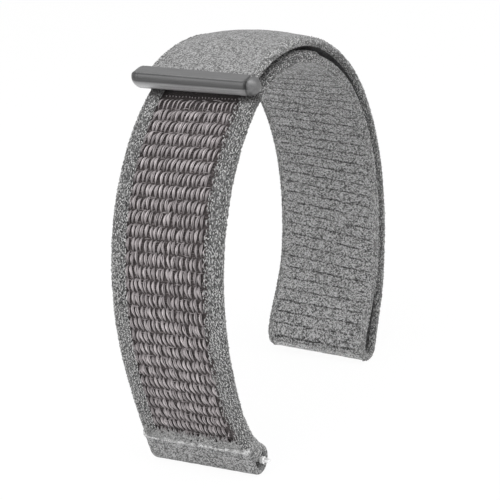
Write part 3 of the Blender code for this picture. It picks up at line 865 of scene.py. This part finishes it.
def hem_relief(sides, runs, facing):
    """The hem's cloth, with the ridge where its end is turned in under the pile."""
    ridge = ease(1 - np.abs(runs - RIDGE_RUN) / RIDGE_REACH) * ease(-facing) * RIDGE_RISE
    ridge = ridge * (0.55 + 0.9 * grain(sides + GRAIN_SHIFT, runs, 0.0009, 9))
    wider = (sides < 0) * (1 - np.abs(facing)) * HEM_WIDER_AT_LEFT
    return knit_relief(sides, runs, facing) * 0.7 + ridge + wider


def add_front_cloth(yarn):
    """The front leg and the crown's inner layer, with the stitches of both edges."""
    knit = knit_finish(
        "Knit round the pile", 0.85, grey(0.060), grey(0.40), edges=grey(0.16),
        lines=(0.0, 1000 * INNER.length), field=(1000 * (HEM_RUN + 0.0001), 1000 * (CROWN_RUN - 0.0025)),
    )
    piece = band_piece("front_band", WHOLE, HEM_RUN, CROWN_RUN, front_faces, front_relief, knit)
    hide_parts("front_ground", "edge_left", "edge_right", "crown_inner")
    blend_over(piece, "front_leg", "front_flex")
    reach = EDGE_WIDTH + 0.0007, 0.0012
    right_bare = EDGE_WIDTH + 0.0004, 0.0125
    for name, edge, seed, bare in (("left", -1.0, 22, None), ("right", 1.0, 24, right_bare)):
        name = "front_edge_stitches_" + name
        piece = edge_stitches(name, WHOLE, HEM_RUN, CROWN_RUN, front_faces, reach, yarn, seed, (edge,), bare)
        blend_over(piece, "front_leg", "front_flex")


def add_rear_cloth(yarn):
    """Both layers of the rear leg, the fold between them and the crown's outer layer."""
    knit = knit_finish(
        "Knit with cross lines", 0.93, grey(0.007), grey(0.445),
        lines=(1000 * (CROWN_RUN + 0.0010), 1000 * INNER.length + 2.4),
        nap=(1000 * INNER.length + 1.7, 1000 * INNER.length + 2.3), painted_gap_shade=True,
    )
    piece = band_piece("rear_band", WHOLE, CROWN_RUN, OVER_RUN, rear_faces, knit_relief, knit)
    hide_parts("rear_inner", "rear_fold", "rear_outer", "crown_outer")
    blend_over(piece, "rear_leg", "rear_flex")
    for name, edge, seed in (("left", -1.0, 32), ("right", 1.0, 34)):
        where = "rear_edge_stitches_" + name, WHOLE, CROWN_RUN, OVER_RUN, rear_faces
        piece = edge_stitches(*where, STITCHES_REACH, yarn, seed, (edge,))
        blend_over(piece, "rear_leg", "rear_flex")


def add_tail_cloth(yarn):
    knit = knit_finish("Napped knit", 0.92, *NAPPED)
    end = WHOLE.length - END_BAR_SLIM_RADIUS + 0.0001
    piece = band_piece("tail_cloth", WHOLE, OVER_RUN, end, tail_faces, knit_relief, knit)
    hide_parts("tail_band")
    blend_tail(piece)
    where = "tail_edge_stitches", WHOLE, OVER_RUN, end, tail_faces
    blend_tail(edge_stitches(*where, STITCHES_REACH, yarn, 43, (-1.0, 1.0)))


def add_hem_cloth(yarn):
    knit = knit_finish("Plain hem knit", 0.95, grey(0.018), grey(0.42), ridge=1.5)
    piece = band_piece("hem_cloth", HEM, 0.0, HEM.length, hem_faces, hem_relief, knit, HEM_CELL, HEM_ROUND)
    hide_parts("hem_sleeve")
    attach(piece, "front_leg")
    where = "hem_edge_stitches", HEM, HEM_UP_RUN + 0.0006, HEM.length, hem_faces
    piece = edge_stitches(*where, (0.0001, 0.0007), yarn, 53, (-1.0, 1.0))
    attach(piece, "front_leg")


def joint_place(name):
    """Where a joint's axis is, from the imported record."""
    joint = next(joint for joint in frame["joints"] if joint["name"] == name)
    return Vector(joint["pos_m"])


def blend_over(piece, leg, joint):
    """Works out a span along the loop to both sides of the leg's joint, but only bakes the piece's place into its
    mesh.
    """
    axis = joint_place(joint)
    run = INNER.run_of(np.array([axis.y + MIDDLE, axis.z]))
    way = INNER.at(run + 0.0005) - INNER.at(run - 0.0005)
    way = Vector((0.0, way[0], way[1])).normalized() * (BEND_REACH if leg == "front_leg" else -BEND_REACH)
    axis - way
    axis + way
    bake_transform(piece)


def blend_tail(piece):
    """Bakes a tail piece's place into its mesh."""
    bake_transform(piece)


# Loop pile


def pile_rows():
    """Where each row of loops starts along the leg: none on the bare strip below the end bar."""
    first = HEM_RUN + FIRST_ROW
    for row in range(int((CROWN_RUN - ROWS_END_BEFORE_CROWN - first) / ROW_PITCH)):
        foot = first + ROW_PITCH * row
        if not STRIP_RUN - ROW_PITCH < foot < STRIP_RUN + STRIP_WIDTH:
            yield foot


def loops(rng):
    """Hoops of filament yarn in rows up the front leg."""
    strands = []
    pitch = (LOOPS_TO - LOOPS_FROM) / (LOOPS_ACROSS - 1)
    t = np.linspace(0.0, 1.0, 8)
    arch = np.sin(pi * t)
    for foot in pile_rows():
        high_up = ease((foot - LOW_LOOPS_TO) / HIGH_LOOPS_AFTER)
        skew = LOOP_SKEW * np.clip((foot - LOOPS_UPRIGHT_AT) / SKEW_GROWS_OVER, -0.45, 1.0)
        slim = STRIP_RUN - 2 * ROW_PITCH < foot < STRIP_RUN
        shift = rng.uniform(-0.25, 0.25)
        peaks = np.sin(pi * t ** (1.7 - 0.4 * high_up))
        for column in range(LOOPS_ACROSS):
            middle = LOOPS_FROM + pitch * (column + shift + rng.normal(0, 0.09))
            start = foot + ROW_PITCH * (rng.normal(0, 0.035) - 0.04 - 0.12 * (1 - high_up))
            long = ROW_PITCH * (rng.uniform(0.98, 1.14) + 0.14 * (1 - high_up))
            tall = LOOP_TALL * rng.uniform(0.78, 1.10) * (0.80 + 0.20 * high_up)
            lean = skew + rng.normal(0, LOOP_LEAN)
            wide = LOOP_WIDTH * rng.uniform(0.66, 1.12) * (1 - 0.08 * high_up) * (0.55 if slim else 1.0)
            bright = rng.uniform(0.50, 0.95) + 0.16 * (1 - high_up)
            for strand in (-0.3, 0.3) if slim else (-0.5, -0.17, 0.17, 0.5):
                spread = wide * strand * (0.05 + 0.95 * peaks**0.7)
                stray = rng.normal(0, STRAND_STRAY) * np.sin(2 * pi * t)
                side = middle + spread + stray + lean * (t - 0.5) * 2
                drop = STRAND_DROP * (2 * strand) ** 2 + rng.uniform(0.0, 0.00009)
                path = in_frame(side, INNER.at(start + long * t, PILE_FLOOR + (tall - drop) * peaks**0.7))
                # Painted shade towards the loop's feet, where it dips into the ground
                dip_painted_light = (0.15 + 0.85 * arch**0.5) * (0.65 + 0.35 * peaks)
                radii = LOOP_STRAND * (1 - 0.10 * high_up) * (0.55 + 0.45 * peaks)
                strands.append((path, radii, bright + rng.uniform(-0.50, 0.20), dip_painted_light))
    return strands


def threads_between(rng):
    """Slivers of pile beside the rows, light threads between them and the dots on the bare strip."""
    strands = []
    half = BAND_WIDTH / 2 - EDGE_WIDTH - CHANNEL_WIDTH + 0.0003
    t = np.linspace(0.0, 1.0, 8)
    arch = np.sin(pi * t)
    for foot in pile_rows():
        if foot > STRIP_RUN:
            break
        for side in (-1, 1):
            middle = side * (half + 0.00040 + rng.normal(0, 0.00008))
            start = foot + ROW_PITCH * (0.20 + rng.normal(0, 0.04))
            lift = PILE_FLOOR + SLIVER_TALL * arch**0.7
            path = in_frame(middle + 0 * t, INNER.at(start + SLIVER_LONG * t, lift))
            tint = rng.uniform(0.6, 1.0) if side > 0 else 0.3
            strands.append((path, LOOP_STRAND * (0.5 + 0.9 * arch), tint, arch))
        for _ in range(THREADS_IN_GAP):
            middle = rng.uniform(-half, half) + THREAD_LONG * rng.uniform(0.6, 1.2) * (t - 0.5)
            start = foot + ROW_PITCH * (0.95 + rng.normal(0, 0.07)) + rng.normal(0, 0.00006) * t
            path = in_frame(middle, INNER.at(start, PILE_FLOOR + 0.00030 + 0.00016 * arch))
            radii = THREAD_RADIUS * (0.6 + 0.4 * arch)
            strands.append((path, radii, rng.uniform(0.5, 0.8), 0.5 + 0.4 * arch))
    for middle in np.linspace(-half, half, STRIP_DOTS):
        start = STRIP_RUN + DOTS_UP_STRIP + rng.normal(0, 0.00004)
        side = middle + rng.normal(0, 0.00004)
        path = in_frame(side + 0 * t, INNER.at(start + DOT_LONG * t, PILE_FLOOR + 0.00020 * arch))
        strands.append((path, DOT_RADIUS * (0.4 + 0.6 * arch), rng.uniform(0.6, 1.0), arch))
    return strands


def ridge_fibres(rng):
    """Fuzz where the hem's end is turned in under the pile."""
    strands = []
    t = np.linspace(0.0, 1.0, 5)
    arch = np.sin(pi * t)
    for _ in range(RIDGE_FIBRES):
        run = HEM_RUN + rng.normal(0.0006, 0.0005) + rng.normal(0.0005, 0.0004) * t
        side = rng.uniform(-0.0092, 0.0092) + rng.normal(0, 0.0007) * t
        path = in_frame(side, INNER.at(run, BAND_THICKNESS / 2 + CLOTH_PROUD + 0.00020 * arch))
        strands.append((path, RIDGE_FIBRE * (1.0 - 0.5 * t), rng.uniform(0.1, 0.9), 0.7 + 0.3 * t))
    return strands


def pile_piece(name, strands, material):
    """One piece from gathered strands, each a (path, radii, tint, painted light that dims where it dips)."""
    paths, radii, tints, dip_painted_light = (np.array(values) for values in zip(*strands))
    return strands_piece(name, paths, radii, material, tints, dip_painted_light, 5)


def add_pile(yarn, edge_yarn):
    """The loop pile, what shows between its rows and the fuzz at its foot."""
    rng = np.random.default_rng(7)
    piece = pile_piece("pile_loops", loops(rng), yarn)
    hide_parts("loop_pile")
    blend_over(piece, "front_leg", "front_flex")
    piece = pile_piece("pile_threads", threads_between(rng), yarn)
    blend_over(piece, "front_leg", "front_flex")
    piece = pile_piece("ridge_fibres", ridge_fibres(rng), edge_yarn)
    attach(piece, "front_leg")


# Hooks


def add_hooks(tape):
    """Small hooks in rows on the tape under the tail, each one bent over along the band."""
    rng = np.random.default_rng(61)
    half = BAND_WIDTH / 2 - HOOK_INSET - HOOK_PITCH
    sides = np.arange(-half, half, HOOK_PITCH)
    first, last = PEEL_RUN + HOOK_END_GAP, WHOLE.length - END_BAR_RADIUS - HOOK_START
    runs = np.arange(first + HOOK_PITCH, last - HOOK_PITCH / 2, HOOK_PITCH)
    t = np.linspace(0.0, 1.0, 8)
    rise = HOOK_TALL * np.sin(pi * HOOK_CURL * t)
    forward = HOOK_TALL * (1 - np.cos(pi * HOOK_CURL * t)) * 0.45
    paths = []
    for row, run in enumerate(runs):
        way = 1 if row % 2 else -1
        for side in sides + rng.normal(0, 0.00005, sides.size):
            places = WHOLE.at(run + way * forward, HOOK_FACE + rise - HOOK_ROOT)
            paths.append(in_frame(np.full(t.size, side), places))
    radii = np.broadcast_to(HOOK_RADIUS * (1.0 - 0.35 * t), (len(paths), t.size))
    tint, dip_painted_light = np.ones(len(paths)), np.ones(radii.shape)
    piece = strands_piece("tail_hooks", np.array(paths), radii, tape, tint, dip_painted_light, 6)
    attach(piece, "tail")


# Metal


def end_bar_places(shoulder, radius):
    """Where the bar's rings are across the band: even on the rod, close on the domes and grooves."""
    rod = np.linspace(-shoulder, shoulder, 90)
    dome = radius * np.sin(np.linspace(0.0, pi / 2, 14)[1:])
    groove = np.linspace(-GROOVE_REACH, GROOVE_REACH, 13)
    places = np.concatenate([rod, shoulder + dome, -shoulder - dome, shoulder + groove, -shoulder + groove])
    return np.unique(np.round(places, 7))[:, None]


def end_bar_reach(places, angle, shoulder, radius):
    """How far the bar's surface is from its middle: a rod with a flat, a crease, grooves and domed ends."""
    past = np.clip((np.abs(places) - shoulder) / radius, 0.0, 0.995)
    flat_middle = (END_BAR_FLAT_FROM + END_BAR_FLAT_TO) / 2
    flat_half = (END_BAR_FLAT_TO - END_BAR_FLAT_FROM) / 2
    off = (angle - flat_middle + pi) % (2 * pi) - pi
    flat = radius * cos(flat_half) / np.maximum(np.cos(off), 0.3)
    ball = right_ball(places, shoulder)
    rim = np.minimum(radius, flat + (radius - flat) * ball * 0.8)
    crease = np.exp(-(((off + flat_half + CREASE_PAST_FLAT) / CREASE_SPREAD) ** 2)) * CREASE_DEPTH
    right = np.exp(-(((places - shoulder) / RIGHT_GROOVE_WIDTH) ** 2)) * RIGHT_GROOVE_DEPTH
    left = np.exp(-(((places + shoulder) / LEFT_GROOVE_WIDTH) ** 2)) * LEFT_GROOVE_DEPTH
    return (rim - crease * (1 - ball) - (right + left)) * np.sqrt(1 - past**2)


def right_ball(places, shoulder):
    """1 on the right end, which is a plain ball, and 0 on the rod."""
    return ease((places - shoulder - BALL_START) / BALL_BLEND)


def end_bar_painted_light(places, angle, shoulder):
    """Share of the full colour: painted reflection and shade round the rod, and a painted dark crescent by the
    ball.
    """
    turns, lights = np.array(BAR_PAINTED_LIGHT).T
    turned = (angle + pi / 2) % (2 * pi) - pi / 2
    shade = np.interp(-turned, -np.radians(turns), lights) + 0 * places
    shade = shade + (BALL_SHADE - shade) * right_ball(places, shoulder)
    # The crescent is painted shade in the groove where the ball meets the rod
    crescent = np.exp(-(((places - shoulder - BALL_START) / CRESCENT_WIDTH) ** 2)) * CRESCENT_PAINTED_SHADE
    return shade * (1 - crescent) / lights.max()


def add_end_bar():
    """The end bar, a little askew on the pile and slimmer towards the right."""
    half, radius = END_BAR_LENGTH / 2, END_BAR_SLIM_RADIUS
    shoulder = half - radius
    places = end_bar_places(shoulder, radius)
    angle = np.linspace(0.0, 2 * pi, 161)[None, :-1]
    slim = 1 - END_BAR_TAPER * (1 + places / half)
    reach = end_bar_reach(places, angle, shoulder, radius) * slim
    outward = INNER.outward(END_BAR_RUN)
    to_tip = np.array([-outward[1], outward[0]])
    way = np.cos(angle)[..., None] * to_tip + np.sin(angle)[..., None] * outward
    middle = INNER.at(END_BAR_RUN, BAND_THICKNESS / 2 + SEAT_GAP + END_BAR_SLIM_RADIUS)
    middle = middle + (END_BAR_DROP + END_BAR_SKEW * places[..., None]) * to_tip
    middle = middle - (1 - slim)[..., None] * radius * outward
    sides = np.broadcast_to(places - END_BAR_LEFT_SHIFT, reach.shape)
    points = in_frame(sides, middle + reach[..., None] * way)
    full = max(light for turn, light in BAR_PAINTED_LIGHT)
    satin = hard_finish("Satin end bar", (0.21, 0.21, 0.212), 0.42, 9.0, metallic=0.6, shaded=full)
    piece = add_piece("end_bar_shell", points, ring_faces(len(places), angle.size), satin)
    # Painted reflection and shade round the bar, as a share of its full colour
    add_value(piece, "shade", end_bar_painted_light(places, angle, shoulder))
    piece.data.set_sharp_from_angle(angle=radians(50))
    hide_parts("end_bar", "end_bar_cap_left", "end_bar_cap_right")
    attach(piece, "tail")


def finish_solids(tape):
    """The sprung bar and the hook tape keep their solids and get their own finishes."""
    steel = hard_finish("Bright bar steel", grey(0.85), 0.30, 6.0, metallic=0.6)
    finishes = {"bar_steel": steel, "hook_tape": tape}
    for entry in frame["record"]["subparts"]:
        finish = finishes.get(entry["material_slot"])
        if finish:
            for slot in frame["nodes"][entry["node"]].material_slots:
                slot.material = finish


# Stage


def add_floor():
    """A pale floor that keeps the strap's shadow and is plain white behind it."""
    mesh = bpy.data.meshes.new("floor")
    corners = [(x * FLOOR_HALF, y * FLOOR_HALF, 0) for x, y in ((-1, -1), (1, -1), (1, 1), (-1, 1))]
    mesh.from_pydata(corners, [], [(0, 1, 2, 3)])
    floor = bpy.data.objects.new("floor", mesh)
    bpy.context.scene.collection.objects.link(floor)
    make = Finish("Pale floor", Roughness=1.0, Specular_IOR_Level=0.0, Base_Color=grey(0.90))
    path = make.node("ShaderNodeLightPath", {})
    seen = path["Is Camera Ray"].most(path["Is Glossy Ray"]).most(path["Is Transmission Ray"])
    glow = make.node("ShaderNodeEmission", {}, grey(1.0), 1.0)
    lit = Value(make, make.surface.outputs[0])
    both = make.node("ShaderNodeMixShader", {}, seen * FLOOR_WHITE, lit, glow["Emission"])
    make.tree.links.new(both["Shader"].socket, make.tree.nodes["Material Output"].inputs["Surface"])
    mesh.materials.append(make.material)


def add_world():
    world = bpy.data.worlds.new("Soft studio")
    bpy.context.scene.world = world
    world.use_nodes = True
    background = world.node_tree.nodes["Background"]
    background.inputs["Color"].default_value = (*grey(1.0), 1.0)
    background.inputs["Strength"].default_value = WORLD_LIGHT


def add_lamp(name, place, size, watts):
    """A square lamp that points at the lower half of the loop."""
    light = bpy.data.lights.new(name, "AREA")
    light.shape = "SQUARE"
    light.size = size
    light.energy = watts
    lamp = bpy.data.objects.new(name, light)
    lamp.location = place
    way = Vector(LAMPS_POINT_AT) - Vector(place)
    lamp.rotation_euler = way.to_track_quat("-Z", "Y").to_euler()
    bpy.context.scene.collection.objects.link(lamp)


def add_camera():
    camera = bpy.data.objects.new("camera", bpy.data.cameras.new("camera"))
    camera.data.sensor_width = 36.0
    camera.data.lens = CAMERA_LENS
    camera.data.clip_start = 0.01
    turn = Matrix((CAMERA_RIGHT, CAMERA_UP, CAMERA_BACK)).transposed().to_4x4()
    camera.matrix_world = Matrix.Translation(CAMERA_PLACE) @ turn
    bpy.context.scene.collection.objects.link(camera)
    bpy.context.scene.camera = camera


def dress():
    bpy.context.scene.view_settings.view_transform = "Standard"
    add_camera()
    add_floor()
    add_world()
    add_lamp("top_light", (0.10, -0.25, 0.70), 0.60, 3.8)
    add_lamp("front_light", (-0.35, -0.70, 0.35), 0.50, 2.0)
    add_lamp("side_light", (0.60, -0.05, 0.45), 0.50, 1.3)
    edge_yarn = yarn_finish("Edge yarn", STITCH_LIGHT, STITCH_DARK, 0.85)
    add_front_cloth(edge_yarn)
    add_rear_cloth(edge_yarn)
    add_tail_cloth(edge_yarn)
    add_hem_cloth(edge_yarn)
    add_pile(yarn_finish("Pile yarn", YARN_LIGHT, YARN_DEEP), edge_yarn)
    add_end_bar()
    tape = hard_finish("Hook tape", grey(0.05), 0.6, 3.0)
    add_hooks(tape)
    finish_solids(tape)


dress()
